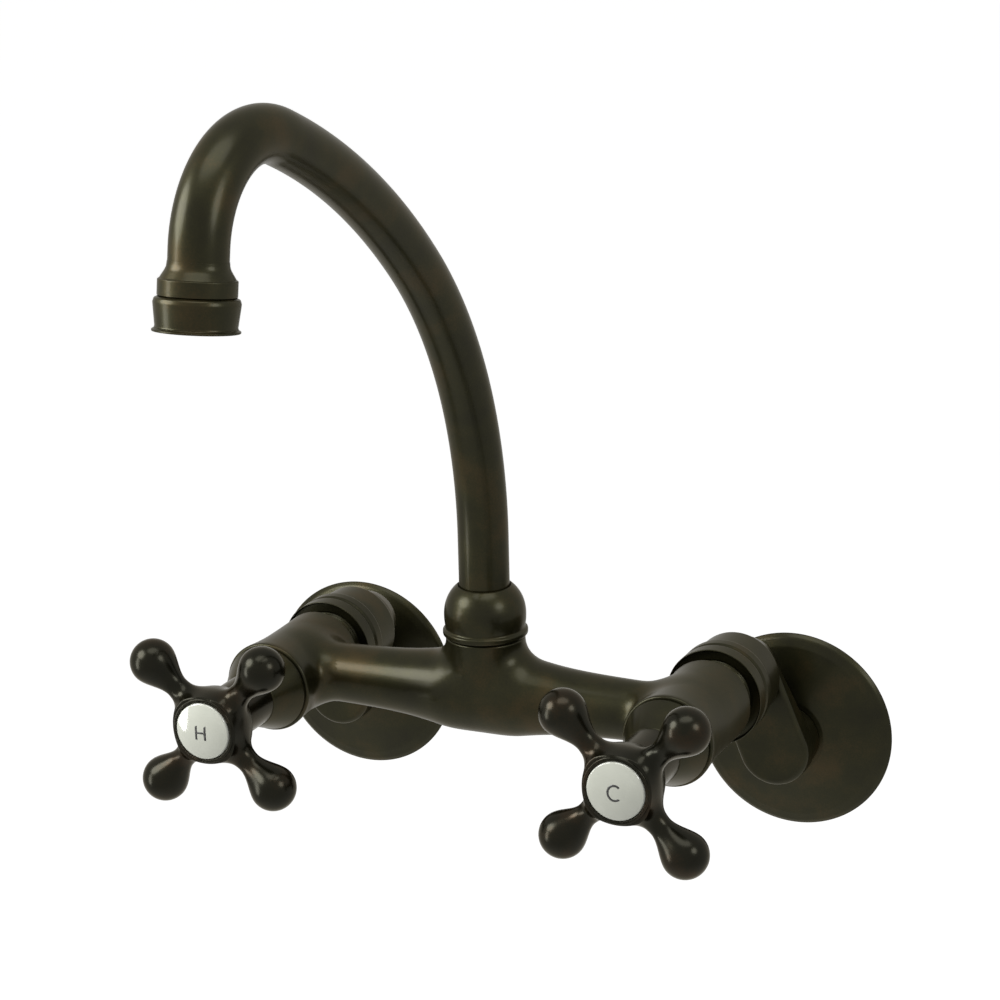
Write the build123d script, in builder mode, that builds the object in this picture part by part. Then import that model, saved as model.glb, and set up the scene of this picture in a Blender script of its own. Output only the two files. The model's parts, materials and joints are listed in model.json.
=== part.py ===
"""Wall-mounted two handle kitchen faucet: a cast bridge body with two valves, a swivel spout and two
offset swing arms with wall flanges. Millimetres. X right, Y into the wall, Z up. The wall is the plane
y = 0 and the origin lies on it, midway between the two wall inlets and at their height."""
from build123d import *
from math import cos, radians, sin
import os

os.makedirs("parts", exist_ok=True)

# driving sizes
valve_centres = 152.4
arm_offset = 32.0
arm_angle = 22.0
hub_depth = 78.9
fit_gap = 0.3
running = 0.05

# wall end, depths from the wall
flange_radius = 37.0
flange_height = 9.2
sheet = 1.2
shank_radius = 10.45
shank_length = 18.0
shank_neck = 10.0
thread_start = 0.5
elbow_back = 16.5
elbow_front = 26.0
bend_start = 31.0
elbow_radius = 13.3
elbow_face = 13.0
bend_face = 13.4
bend_back = 10.2
boss_radius = 15.0
back_round = 2.0
water_way = 6.0
cross_way = 3.6

# coupling, its depths follow the body
thread_radius = 13.2
nut_radius = 17.5
nut_length = 12.5
nut_reveal = 5.0
nut_lip = 2.4
nut_recess = 1.6
nut_round = 2.5
collar = 2.3
washer = 2.0
inlet_bore = 8.5

# body
barrel_behind = 18.9
barrel_ahead = 22.1
barrel_radius = 16.3
waist_radius = 15.3
neck_radius = 15.6
edge_round = 0.9
passage = 5.5
chamber = 12.0
seat_drop = 8.9
seat_web = 4.0
hub_radius = 14.0
hub_top = 22.0
hub_foot = 14.0
hub_fillet = 4.0
arm_end = 10.2
arm_root = 15.6
spigot_radius = 11.8
spigot_height = 8.5
sleeve_radius = 9.5
sleeve_length = 23.3

# spout
collar_radius = 14.4
bead_radius = 15.0
bead = 2.8
collar_height = 18.6
collar_roof = 4.6
tube_radius = 8.9
tube_wall = 1.0
spout_turn = 3.1
socket_depth = 8.0
riser = 32.84
back_bend = (149.35, 44.41)
top_bend = (241.9, 23.18)
crown_bend = (33.0, 103.44)
tube_end = 5.6

# outlet, heights along its own axis
skirt = 2.3
flare = 3.0
band_radius = 11.6
band = 4.6
outlet_thread = 10.6
thread_length = 5.4
housing_radius = 12.75
housing_foot = 11.9
lip_radius = 12.85
housing = 10.3
outlet_washer = 1.4
screen = 0.4

# valve
skirt_radius = 10.8
disc_radius = 9.0
disc = 3.0
seal = 2.3
stem_foot = 3.4
stem_radius = 4.8
spline_radius = 4.0
spline_length = 14.2
ring_groove = 1.2
ring_width = 2.4
ring_pitch = 5.0
gasket = 1.2
bonnet_flange = 2.0
hex_flats = 17.0
hex_height = 4.3
bonnet_neck = 12.5
cover_radius = 9.75
cover_wall = 0.9
cover_cone = 13.6
cover_length = 35.5

# handle
cover_overlap = 2.8
arm_height = 6.7
hub_length = 14.1
lip = 11.7
button_radius = 10.15
button_depth = 2.1
button_rise = 1.5
ball_reach = 30.3
ball_radius = 8.1
arm_waist = 4.0
arm_swell = 6.6
screw_radius = 2.0
screw_head = 3.7
screw_length = 9.0
web = 1.9
rest_turn = {"hot": 3.1, "cold": -1.0}

# places along a valve axis, as depths from the wall
neck_end = hub_depth - barrel_behind
nut_front = neck_end - nut_reveal
nut_back = nut_front - nut_length
collar_low = nut_back + nut_lip + fit_gap
collar_high = collar_low + collar
inlet_end = collar_high + washer
boss_front = nut_back - fit_gap
nut_rim = nut_radius - 0.5
seat_depth = hub_depth - seat_drop
fixed_low = seat_depth + seal
moving_low = fixed_low + disc
foot_low = moving_low + disc
barrel_front = hub_depth + barrel_ahead
gasket_low = barrel_front - gasket - fit_gap
cover_base = barrel_front + fit_gap
flange_front = barrel_front + bonnet_flange
hex_front = flange_front + hex_height
neck_front = barrel_front + bonnet_neck
cover_front = barrel_front + cover_length
hub_back = cover_front - cover_overlap
handle_depth = hub_back + arm_height
rim_depth = hub_back + hub_length
recess = rim_depth - button_depth - 0.1
screw_seat = recess - 2.3
stem_front = screw_seat - web - fit_gap

# heights of the spout's pieces above the valves
spigot_top = hub_top + spigot_height
sleeve_foot = spigot_top + fit_gap - sleeve_length
glide_low = spigot_top + fit_gap + 2.2
tube_start = glide_low - socket_depth
collar_top = hub_top + collar_height
collar_ceiling = collar_top - collar_roof

valve_x = valve_centres / 2
valve_z = arm_offset * cos(radians(arm_angle))
inlet_x = valve_x + arm_offset * sin(radians(arm_angle))


def turned(outline, plane):
    """Solid turned about the plane's Y direction from corners given as (radius, height)."""
    with BuildPart() as piece:
        with BuildSketch(plane):
            with BuildLine():
                Polyline(*outline, close=True)
            make_face()
        revolve(axis=Axis(plane.origin, plane.y_dir))
    return piece


def ring(inner, outer, low, high, plane):
    """Plain ring between two radii and two heights."""
    return turned([(inner, low), (outer, low), (outer, high), (inner, high)], plane)


def save(piece, name):
    piece.part.label = name
    export_step(piece.part, f"parts/{name}.step")


hub_plane = Plane(origin=(0, -hub_depth, valve_z), x_dir=(1, 0, 0), z_dir=(0, -1, 0))
hub_axis = Axis(hub_plane.origin, (0, 0, 1))
sides = (("hot", -1), ("cold", 1))

# cast bridge body: barrels, arms, hub, inlet necks
arm_axis = Axis((0, -hub_depth, valve_z + 0.8), (1, 0, 0))
with BuildPart() as body_casting:
    with BuildSketch(Plane(origin=arm_axis.position)):
        with BuildLine():
            swell = arm_root - arm_end
            half = [(valve_x, arm_end), (0.66 * valve_x, arm_end + 0.07 * swell),
                    (0.45 * valve_x, arm_end + 0.22 * swell), (0.26 * valve_x, arm_end + 0.56 * swell)]
            Spline(*half, (0, arm_root), *[(-x, radius) for x, radius in reversed(half)])
            Polyline((-valve_x, arm_end), (-valve_x, 0), (valve_x, 0), (valve_x, arm_end))
        make_face()
    revolve(axis=arm_axis)
    with BuildSketch(hub_plane):
        with BuildLine():
            Polyline((0, -hub_foot), (0, hub_top), (hub_radius, hub_top), (hub_radius, 0))
            RadiusArc((hub_radius, 0), (0, -hub_foot), max(hub_radius, hub_foot) + 0.5)
        make_face()
    revolve(axis=hub_axis)
    fillet(body_casting.edges().filter_by(lambda edge: abs(edge.center().X) < hub_radius + 6
                                          and valve_z + 2 < edge.center().Z < valve_z + hub_top - 1),
                                          hub_fillet)
    for side, sign in sides:
        along = Plane(origin=(sign * valve_x, 0, valve_z), x_dir=(1, 0, 0), z_dir=(0, 0, -1))
        with BuildSketch(along):
            with BuildLine():
                Polyline((neck_radius, neck_end + 1), (neck_radius - 1, neck_end), (thread_radius, neck_end),
                         (thread_radius, inlet_end), (0, inlet_end), (0, barrel_front),
                         (barrel_radius - edge_round, barrel_front))
                TangentArc((barrel_radius - edge_round, barrel_front),
                           (barrel_radius, barrel_front - edge_round),
                           tangent=(1, 0))
                Spline((barrel_radius, barrel_front - edge_round), (waist_radius, hub_depth + 2),
                       (neck_radius, neck_end + 1), tangents=((-0.05, -1), (0, -1)))
            make_face()
        revolve(axis=Axis(along.origin, along.y_dir))
        with BuildSketch(along):
            with BuildLine():
                Polyline((0, inlet_end), (inlet_bore, inlet_end), (inlet_bore, seat_depth - seat_web),
                         (water_way, seat_depth - seat_web), (water_way, seat_depth), (chamber, seat_depth),
                         (chamber, gasket_low), (chamber + 1.4, gasket_low), (chamber + 1.4, barrel_front),
                         (0, barrel_front), close=True)
            make_face()
        revolve(axis=Axis(along.origin, along.y_dir), mode=Mode.SUBTRACT)
    with BuildSketch(hub_plane):
        with Locations((0, 0)):
            Rectangle(spigot_radius, spigot_top, align=(Align.MIN, Align.MIN))
    revolve(axis=hub_axis)
    with BuildSketch(Plane(origin=(-valve_x, -hub_depth, valve_z), x_dir=(0, 1, 0), z_dir=(1, 0, 0))):
        Circle(passage)
    extrude(amount=2 * valve_x, mode=Mode.SUBTRACT)
    with BuildSketch(Plane(origin=(0, -hub_depth, valve_z + spigot_top))):
        Circle(sleeve_radius + running)
    extrude(amount=-spigot_top - passage - 2.5, mode=Mode.SUBTRACT)
save(body_casting, "body_casting")

# spout collar: bead, dome and the opening for the tube
with BuildPart() as spout_collar:
    with BuildSketch(hub_plane):
        with BuildLine():
            bead_low = hub_top + fit_gap
            bead_high = bead_low + bead
            Polyline((tube_radius + fit_gap, collar_top), (tube_radius + fit_gap, collar_ceiling),
                     (spigot_radius + running, collar_ceiling), (spigot_radius + running, bead_low),
                     (bead_radius - 1, bead_low))
            ThreePointArc((bead_radius - 1, bead_low), (bead_radius, bead_low + bead / 2),
                          (bead_radius - 1, bead_high))
            Spline((bead_radius - 1, bead_high), (collar_radius, hub_top + 0.48 * collar_height),
                   (collar_radius - 1.2, hub_top + 0.785 * collar_height),
                   (tube_radius + fit_gap, collar_top), tangents=((0.1, 1), (-1, 0.35)))
        make_face()
    revolve(axis=hub_axis)
save(spout_collar, "spout_collar")

save(ring(tube_radius + fit_gap, spigot_radius - fit_gap, glide_low, collar_ceiling, hub_plane),
     "spout_glide_ring")

# turned tail of the spout, with two seal grooves and the flange the collar holds down
groove = sleeve_radius - 1.2
socket = tube_radius + running
tail = [(groove - 1, sleeve_foot), (sleeve_radius, sleeve_foot)]
ring_lows = (sleeve_foot + 3.5, sleeve_foot + 9.5)
for low in ring_lows:
    tail += [(sleeve_radius, low), (groove, low), (groove, low + 2.6), (sleeve_radius, low + 2.6)]
tail += [(sleeve_radius, spigot_top + fit_gap), (spigot_radius - fit_gap, spigot_top + fit_gap),
         (spigot_radius - fit_gap, glide_low), (socket, glide_low), (socket, tube_start),
         (groove - 1, tube_start)]
save(turned(tail, hub_plane), "spout_swivel_sleeve")

with BuildPart() as spout_o_rings:
    with BuildSketch(hub_plane):
        with Locations(*[(groove + 0.62, low + 1.3) for low in ring_lows]):
            Circle(0.57)
    revolve(axis=hub_axis)
save(spout_o_rings, "spout_o_rings")

# spout tube: riser, two slow bends back, a tight crown and a short straight end
turn = radians(spout_turn)
spout_plane = Plane(origin=hub_plane.origin, x_dir=(-sin(turn), -cos(turn), 0),
                    z_dir=(-cos(turn), sin(turn), 0))
with BuildPart() as spout_tube:
    with BuildLine(spout_plane) as spout_path:
        up = Line((0, tube_start), (0, tube_start + riser))
        lean = JernArc(up @ 1, up % 1, back_bend[0], -back_bend[1])
        rise = JernArc(lean @ 1, lean % 1, top_bend[0], -top_bend[1])
        crown = JernArc(rise @ 1, rise % 1, crown_bend[0], -crown_bend[1])
        drop = Line(crown @ 1, crown @ 1 + (crown % 1) * tube_end)
    with BuildSketch(Plane(origin=up @ 0, z_dir=(0, 0, 1))):
        Circle(tube_radius)
        Circle(tube_radius - tube_wall, mode=Mode.SUBTRACT)
    sweep(path=spout_path.wire())
save(spout_tube, "spout_tube")

# outlet, turned about the line of the tube's end
down = drop % 1
outlet = Plane(origin=drop @ 1, x_dir=down.cross(spout_plane.z_dir), z_dir=spout_plane.z_dir)
bore = tube_radius - tube_wall - running
band_foot = flare + band
thread_foot = band_foot + thread_length
save(turned([(bore - 0.8, -4), (bore, -4), (bore, 0), (socket, 0), (socket, -skirt),
             (tube_radius + 0.25, -skirt),
             (tube_radius + 0.8, -0.15 * skirt), (band_radius - 0.6, flare - 0.3), (band_radius, flare),
             (band_radius, band_foot - 0.4), (band_radius - 0.4, band_foot),
             (outlet_thread, band_foot), (outlet_thread, thread_foot), (bore - 0.8, thread_foot)], outlet),
     "spout_outlet_ferrule")

top = band_foot + fit_gap
foot = band_foot + housing
thread_bore = outlet_thread + running
save(turned([(thread_bore, top), (housing_radius - 1.4, top), (housing_radius - 0.35, top + 0.6),
             (housing_radius, top + 1.7), (housing_foot, foot - 1.5), (lip_radius, foot - 0.8),
             (lip_radius, foot),
             (thread_bore - 1.1, foot), (thread_bore - 1.1, foot - 0.6), (thread_bore, foot - 0.6)], outlet),
     "aerator_housing")
insert_radius = outlet_thread - 0.1
save(ring(insert_radius - 2.4, insert_radius, thread_foot, thread_foot + outlet_washer, outlet),
     "aerator_washer")

with BuildPart() as aerator_screen:
    screen_place = outlet.origin + down * (thread_foot + outlet_washer)
    with BuildSketch(Plane(origin=screen_place, x_dir=outlet.x_dir, z_dir=down)):
        Circle(insert_radius)
        with HexLocations(1.0, 7, 7):
            Circle(0.55, mode=Mode.SUBTRACT)
    extrude(amount=screen)
save(aerator_screen, "aerator_screen")

insert_top = thread_foot + outlet_washer + screen
with BuildPart() as aerator_insert:
    with BuildSketch(Plane(origin=outlet.origin + down * insert_top, x_dir=outlet.x_dir, z_dir=down)):
        Circle(insert_radius)
        Circle(insert_radius - 1.4, mode=Mode.SUBTRACT)
        Circle(3)
        with PolarLocations(0, 6):
            Rectangle(insert_radius - 0.7, 0.9, align=(Align.MIN, Align.CENTER))
    extrude(amount=foot - 0.6 - insert_top)
save(aerator_insert, "aerator_insert")

for side, sign in sides:
    along = Plane(origin=(sign * valve_x, 0, valve_z), x_dir=(1, 0, 0), z_dir=(0, 0, -1))
    axis = Axis(along.origin, along.y_dir)
    wall = Plane(origin=(sign * inlet_x, 0, 0), x_dir=(1, 0, 0), z_dir=(0, 0, -1))

    # coupling nut, its washer and the offset arm it holds
    arm_neck = thread_radius - 2.4
    with BuildPart() as coupling_nut:
        with BuildSketch(along):
            with BuildLine():
                Polyline((nut_radius - nut_round, nut_back), (arm_neck + fit_gap, nut_back),
                         (arm_neck + fit_gap, nut_back + nut_lip),
                         (thread_radius + running, nut_back + nut_lip),
                         (thread_radius + running, nut_front - nut_recess), (nut_rim, nut_front - nut_recess),
                         (nut_rim, nut_front), (nut_radius - 0.2, nut_front), (nut_radius, nut_front - 0.2),
                         (nut_radius, nut_back + nut_round))
                TangentArc((nut_radius, nut_back + nut_round), (nut_radius - nut_round, nut_back),
                           tangent=(0, -1))
            make_face()
        revolve(axis=axis)
    save(coupling_nut, f"{side}_coupling_nut")
    save(ring(inlet_bore - 0.5, thread_radius - 0.3, collar_high, inlet_end, along),
         f"{side}_coupling_washer")

    with BuildPart() as swing_arm:
        for depth, bend, elbow in ((elbow_front, bend_face, elbow_face),
                                   (elbow_back, bend_back, elbow_radius)):
            with BuildSketch(Plane(origin=(0, -depth, 0), x_dir=(1, 0, 0), z_dir=(0, -1, 0))):
                with Locations((sign * valve_x, valve_z)):
                    Circle(bend)
                with Locations((sign * inlet_x, 0)):
                    Circle(elbow)
                make_hull()
        loft(ruled=True)
        fillet(swing_arm.edges().filter_by(lambda edge: edge.center().Y > -elbow_back - 0.1), back_round)
        with BuildSketch(along):
            with BuildLine():
                Polyline((0, elbow_front - 1), (bend_face - 0.3, elbow_front - 1), (boss_radius, bend_start),
                         (boss_radius, boss_front), (0, boss_front), close=True)
            make_face()
        revolve(axis=axis)
        with BuildSketch(wall):
            with BuildLine():
                Polyline((0, -shank_length), (shank_radius - 1, -shank_length),
                         (shank_radius, 1 - shank_length),
                         (shank_radius, -thread_start), (shank_neck, -thread_start),
                         (shank_neck, flange_height + fit_gap), (elbow_radius - 1, flange_height + fit_gap),
                         (elbow_radius - 1, elbow_back + 1), (0, elbow_back + 1), close=True)
            make_face()
        revolve(axis=Axis(wall.origin, wall.y_dir))
        with BuildSketch(along):
            with BuildLine():
                Polyline((0, elbow_front), (arm_neck, elbow_front), (arm_neck, collar_low),
                         (thread_radius - 0.4, collar_low), (thread_radius - 0.4, collar_high),
                         (0, collar_high),
                         close=True)
            make_face()
        revolve(axis=axis)
        middle = (elbow_back + elbow_front) / 2
        with BuildSketch(Plane(origin=(sign * valve_x, -collar_high, valve_z), x_dir=(1, 0, 0),
                               z_dir=(0, 1, 0))):
            Circle(water_way)
        extrude(amount=collar_high - middle + 3, mode=Mode.SUBTRACT)
        with BuildSketch(Plane(origin=(sign * inlet_x, shank_length, 0), x_dir=(1, 0, 0), z_dir=(0, -1, 0))):
            Circle(water_way)
        extrude(amount=shank_length + middle, mode=Mode.SUBTRACT)
        reach = Vector(sign * (inlet_x - valve_x), 0, -valve_z)
        with BuildSketch(Plane(origin=(sign * valve_x, -middle, valve_z), z_dir=reach)):
            Circle(cross_way)
        extrude(amount=arm_offset, mode=Mode.SUBTRACT)
    save(swing_arm, f"{side}_swing_arm")

    # dished wall flange
    hole = shank_neck + fit_gap
    dish = flange_height - 0.5
    save(turned([(flange_radius, 0), (flange_radius, 1.7), (flange_radius - 4.5, 2.7), (hole + 3.5, dish),
                 (hole, flange_height), (hole, flange_height - sheet), (hole + 3.2, dish - sheet),
                 (flange_radius - 4.8, 2.7 - sheet), (flange_radius - 0.8, 0.5), (flange_radius - 0.8, 0)],
                 wall),
         f"{side}_wall_flange")

    # ceramic valve
    save(ring(water_way, disc_radius, seat_depth, fixed_low, along), f"{side}_valve_seat_seal")
    with BuildPart() as fixed_disc:
        with BuildSketch(Plane(origin=(sign * valve_x, -fixed_low, valve_z), x_dir=(1, 0, 0),
                               z_dir=(0, -1, 0))):
            Circle(disc_radius)
            for start in (74, 254):
                SlotArc(CenterArc((0, 0), 4.2, start, 32), 3.0, mode=Mode.SUBTRACT)
        extrude(amount=disc)
    save(fixed_disc, f"{side}_fixed_disc")
    with BuildPart() as moving_disc:
        with BuildSketch(Plane(origin=(sign * valve_x, -moving_low, valve_z), x_dir=(1, 0, 0),
                               z_dir=(0, -1, 0))):
            Circle(disc_radius)
            with PolarLocations(0, 2):
                Polygon((2.7, 1.8), (2.7, -1.8), (disc_radius, -5.8), (disc_radius, 5.8), align=None,
                        mode=Mode.SUBTRACT)
        extrude(amount=disc)
    save(moving_disc, f"{side}_moving_disc")

    skirt_bore = disc_radius + 0.15
    bonnet_thread = chamber - running
    stem_bore = stem_radius + running
    bore_end = foot_low + stem_foot + 0.4
    thread_end = barrel_front - fit_gap
    with BuildPart() as valve_bonnet:
        with BuildSketch(along):
            with BuildLine():
                Polyline((skirt_bore, seat_depth + fit_gap), (skirt_radius, seat_depth + fit_gap),
                         (skirt_radius, bore_end + 5.9), (bonnet_thread, bore_end + 6.5),
                         (bonnet_thread, thread_end),
                         (chamber + 1.2, thread_end), (chamber + 1.2, flange_front),
                         (cover_radius - 1.55, flange_front), (cover_radius - 1.55, neck_front),
                         (stem_bore, neck_front), (stem_bore, bore_end), (skirt_bore, bore_end), close=True)
            make_face()
        revolve(axis=axis)
        with BuildSketch(Plane(origin=(sign * valve_x, -flange_front, valve_z), x_dir=(1, 0, 0),
                               z_dir=(0, -1, 0))):
            RegularPolygon(hex_flats / 2, 6, major_radius=False)
            Circle(stem_bore, mode=Mode.SUBTRACT)
        extrude(amount=hex_height)
        window = disc + stem_foot
        with BuildSketch(Plane(origin=(sign * valve_x, -moving_low - window / 2, valve_z), x_dir=(0, 1, 0),
                               z_dir=(1, 0, 0))):
            RectangleRounded(window, disc_radius + 1, 1)
        extrude(amount=skirt_radius + 1, both=True, mode=Mode.SUBTRACT)
    save(valve_bonnet, f"{side}_valve_bonnet")
    save(ring(bonnet_thread + 0.1, chamber + 1.2, thread_end - gasket, thread_end, along),
         f"{side}_bonnet_gasket")

    groove_foot = stem_radius - ring_groove
    shaft = [(0, foot_low), (disc_radius, foot_low), (disc_radius, foot_low + stem_foot),
             (stem_radius, foot_low + stem_foot)]
    ring_lows = (bore_end + 8, bore_end + 8 + ring_pitch)
    for low in ring_lows:
        shaft += [(stem_radius, low), (groove_foot, low), (groove_foot, low + ring_width),
                  (stem_radius, low + ring_width)]
    spline_low = stem_front - spline_length
    shaft += [(stem_radius, spline_low - 0.8), (spline_radius, spline_low), (spline_radius, stem_front),
              (screw_radius, stem_front), (screw_radius, stem_front - screw_length - 1),
              (0, stem_front - screw_length - 1)]
    save(turned(shaft, along), f"{side}_valve_stem")
    with BuildPart() as stem_o_rings:
        with BuildSketch(along):
            with Locations(*[(groove_foot + 0.64, low + ring_width / 2) for low in ring_lows]):
                Circle(0.58)
        revolve(axis=axis)
    save(stem_o_rings, f"{side}_stem_o_rings")

    base_radius = barrel_radius - edge_round - 0.1
    cover_bore = cover_radius - cover_wall
    hex_room = hex_flats / 2 + 1.9
    save(turned([(base_radius, cover_base), (base_radius, cover_base + 1.3),
                 (cover_radius, barrel_front + cover_cone), (cover_radius, cover_front),
                 (cover_bore, cover_front),
                 (cover_bore, neck_front + 0.4),
                 (cover_radius - 1.5, neck_front + 0.4), (cover_radius - 1.5, hex_front + fit_gap),
                 (hex_room, hex_front + fit_gap), (hex_room, flange_front + fit_gap),
                 (chamber + 1.5, flange_front + fit_gap), (chamber + 1.5, cover_base)], along),
         f"{side}_valve_cover")

    # cross handle: hub with four club arms, button recess in front, socket behind
    with BuildPart() as cross_handle:
        with BuildSketch(along):
            with BuildLine():
                Polyline((0, hub_back), (lip - 0.4, hub_back), (lip, hub_back + 0.8), (lip, rim_depth - 0.9),
                         (lip - 0.4, rim_depth - 0.2), (0, rim_depth - 0.2), close=True)
            make_face()
        revolve(axis=axis)
        for quarter in range(4):
            angle = radians(45 + 90 * quarter + rest_turn[side])
            out = Vector(cos(angle), 0, sin(angle))
            club = Plane(origin=(sign * valve_x, -handle_depth, valve_z), x_dir=out,
                         z_dir=out.cross(Vector(0, -1, 0)))
            with BuildSketch(club):
                with BuildLine():
                    root = 0.7 * lip
                    Line((root, 0), (root, arm_swell))
                    Spline((root, arm_swell), (0.43 * ball_reach, arm_waist + 0.8),
                           (0.6 * ball_reach, arm_waist),
                           (0.8 * ball_reach, 0.5 * (arm_waist + ball_radius)), (ball_reach, ball_radius),
                           tangents=((1, -0.5), (1, 0)))
                    TangentArc((ball_reach, ball_radius), (ball_reach + ball_radius, 0), tangent=(1, 0))
                    Line((ball_reach + ball_radius, 0), (root, 0))
                make_face()
            revolve(axis=Axis(club.origin, out))
        with BuildSketch(along):
            with BuildLine():
                Polyline((0, hub_back), (cover_radius + 0.4, hub_back),
                         (cover_radius + 0.4, cover_front + 0.7),
                         (spline_radius + running, cover_front + 0.7),
                         (spline_radius + running, stem_front + fit_gap),
                         (screw_radius + 0.1, stem_front + fit_gap), (screw_radius + 0.1, screw_seat),
                         (screw_head + 0.5, screw_seat), (screw_head + 0.5, recess),
                         (button_radius + 0.15, recess), (button_radius + 0.15, rim_depth), (0, rim_depth),
                         close=True)
            make_face()
        revolve(axis=axis, mode=Mode.SUBTRACT)
    save(cross_handle, f"{side}_cross_handle")

    with BuildPart() as handle_screw:
        with BuildSketch(along):
            with BuildLine():
                Polyline((0, stem_front - screw_length), (screw_radius - running, stem_front - screw_length),
                         (screw_radius - running, screw_seat), (screw_head, screw_seat),
                         (screw_head, recess - fit_gap), (0, recess - fit_gap), close=True)
            make_face()
        revolve(axis=axis)
        with BuildSketch(Plane(origin=(sign * valve_x, -recess + fit_gap, valve_z), x_dir=(1, 0, 0),
                               z_dir=(0, -1, 0))):
            RegularPolygon(1.5, 6, major_radius=False)
        extrude(amount=-1.2, mode=Mode.SUBTRACT)
    save(handle_screw, f"{side}_handle_screw")

    with BuildPart() as porcelain_button:
        with BuildSketch(along):
            with BuildLine():
                Polyline((0, rim_depth + button_rise), (0, rim_depth - button_depth),
                         (button_radius, rim_depth - button_depth), (button_radius, rim_depth))
                TangentArc((0, rim_depth + button_rise), (button_radius, rim_depth), tangent=(1, 0))
            make_face()
        revolve(axis=axis)
    save(porcelain_button, f"{side}_porcelain_button")
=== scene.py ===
"""Two handle kitchen faucet for a wall: a cast bridge body with two ceramic valves, a high swivel spout,
cross handles with porcelain buttons, and two offset swing arms with wall flanges.

Shapes are worked out in tap coordinates, in millimetres: x to the cold side, depth out of the wall,
height above the valves' axes. place() turns them into scene metres."""
import bpy
import json
import numpy as np
from math import cos, pi, radians, sin, sqrt
from mathutils import Matrix


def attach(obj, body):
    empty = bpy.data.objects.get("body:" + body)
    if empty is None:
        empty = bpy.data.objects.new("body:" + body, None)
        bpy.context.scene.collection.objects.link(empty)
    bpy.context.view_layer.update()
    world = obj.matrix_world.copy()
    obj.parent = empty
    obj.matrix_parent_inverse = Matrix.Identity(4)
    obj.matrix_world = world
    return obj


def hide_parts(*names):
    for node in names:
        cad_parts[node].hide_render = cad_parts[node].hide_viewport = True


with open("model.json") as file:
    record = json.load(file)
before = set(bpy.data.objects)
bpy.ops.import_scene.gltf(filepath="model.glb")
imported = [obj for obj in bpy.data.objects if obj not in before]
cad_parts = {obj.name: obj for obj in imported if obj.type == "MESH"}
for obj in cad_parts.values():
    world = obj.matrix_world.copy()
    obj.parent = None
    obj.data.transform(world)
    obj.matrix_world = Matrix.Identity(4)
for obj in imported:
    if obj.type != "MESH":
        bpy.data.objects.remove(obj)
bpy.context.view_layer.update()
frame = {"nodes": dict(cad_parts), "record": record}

# Driving dimensions in millimetres. A reach or radius is taken from the piece's own axis, and what ends in
# BACK or FRONT is a depth.

# swing arms, flanges and union nuts
VALVE_X = 76.2
ARM_OFFSET, ARM_LEAN = 32.0, radians(22)
VALVE_Z = ARM_OFFSET * cos(ARM_LEAN)
INLET_X = VALVE_X + ARM_OFFSET * sin(ARM_LEAN)
LINK_BACK, LINK_FRONT = 16.5, 26.0
BOSS_FRONT, BOSS_RADIUS = 42.2, 16.3
ARM_COLLAR_BACK, ARM_COLLAR_FRONT, ARM_COLLAR_RADIUS = 45.2, 47.5, 12.8
ARM_NECK_RADIUS = 10.8
SHANK_BACK, SHANK_RADIUS, WATERWAY_RADIUS = -18.0, 10.45, 6.0
FLANGE_RADIUS, FLANGE_HEIGHT = 37.0, 9.2
NUT_BACK, NUT_FRONT, NUT_RADIUS = 42.5, 55.0, 17.5

# bridge body
HUB_DEPTH, HUB_RADIUS, HUB_TOP = 78.9, 14.0, 22.0
SPIGOT_RADIUS, SPIGOT_TOP = 11.8, 30.5
BRIDGE_HEIGHT, BRIDGE_RADIUS, BRIDGE_SWELL = 0.8, 10.2, 5.4
WAIST_DEPTH, WAIST_RADIUS = 81.0, 15.3
BARREL_BACK, BARREL_FRONT, BARREL_FRONT_RADIUS = 60.0, 101.0, 16.3
NECK_RADIUS, NECK_PITCH, NECK_GROOVE = 13.2, 1.6, 0.7
NECK_BACK, NECK_FRONT = 50.5, 59.0

# valve shrouds, handles and buttons
SHROUD_FRONT, SLEEVE_FRONT, SLEEVE_RADIUS = 114.7, 136.5, 9.7
HANDLE_BACK, HANDLE_DEPTH, HANDLE_FRONT = 133.7, 140.4, 147.8
HANDLE_RADIUS = 11.7
CLUB_WAIST, CLUB_WAIST_RADIUS = 18.0, 4.0
CLUB_BALL, CLUB_BALL_RADIUS = 30.3, 8.1
BUTTON_BACK, BUTTON_RADIUS, BUTTON_CROWN = 145.75, 10.15, 1.5

# spout
BEAD_RADIUS, DOME_FOOT, DOME_HEIGHT = 15.0, 25.1, 15.5
TUBE_RADIUS, TUBE_WALL = 8.9, 1.0
SPOUT_SOCKET, SPOUT_RISER, SPOUT_END = 25.0, 32.84, 5.6
SPOUT_ARCS = ((149.35, 44.41), (241.9, 23.18), (33.0, 103.44))
BAND_RADIUS, OUTLET_THREAD_RADIUS, OUTLET_BORE = 11.6, 10.6, 7.05
AERATOR_RADIUS, AERATOR_LIP_RADIUS = 12.75, 12.85

# How far the spout and the handles are turned in the photograph, and the two sides of the tap.
SPOUT_TURN = radians(3.1)
REST_TURN = {"hot": radians(3.1), "cold": radians(-1.0)}
SIDES = (("hot", -1), ("cold", 1))

# An axis of turning is its origin, its two cross directions and its own direction.
ACROSS, OUT, UP = np.eye(3)
HUB_AXIS = np.array([0, HUB_DEPTH, 0]), ACROSS, OUT, UP

# Where the closed shells of one casting pass under each other, as distances across from the middle of the
# bridge, or along an arm of a handle: each sinks past its seam, and its rays go no farther than its stop.
HUB_SEAM, HUB_STOP = 17, 20.5
BRIDGE_ARM_SEAMS, BRIDGE_ARM_ENDS = (19, 54.5), (14.5, 58.5)
BARREL_SEAM, BARREL_STOP = 56.5, 51.5
SKIRT_SEAM, SKIRT_STOP = 13, 18
CLUB_SEAM, CLUB_START = 15, 10.5

# Points round the hub and the barrels of the casting.
CAST_COLUMNS = 144


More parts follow.
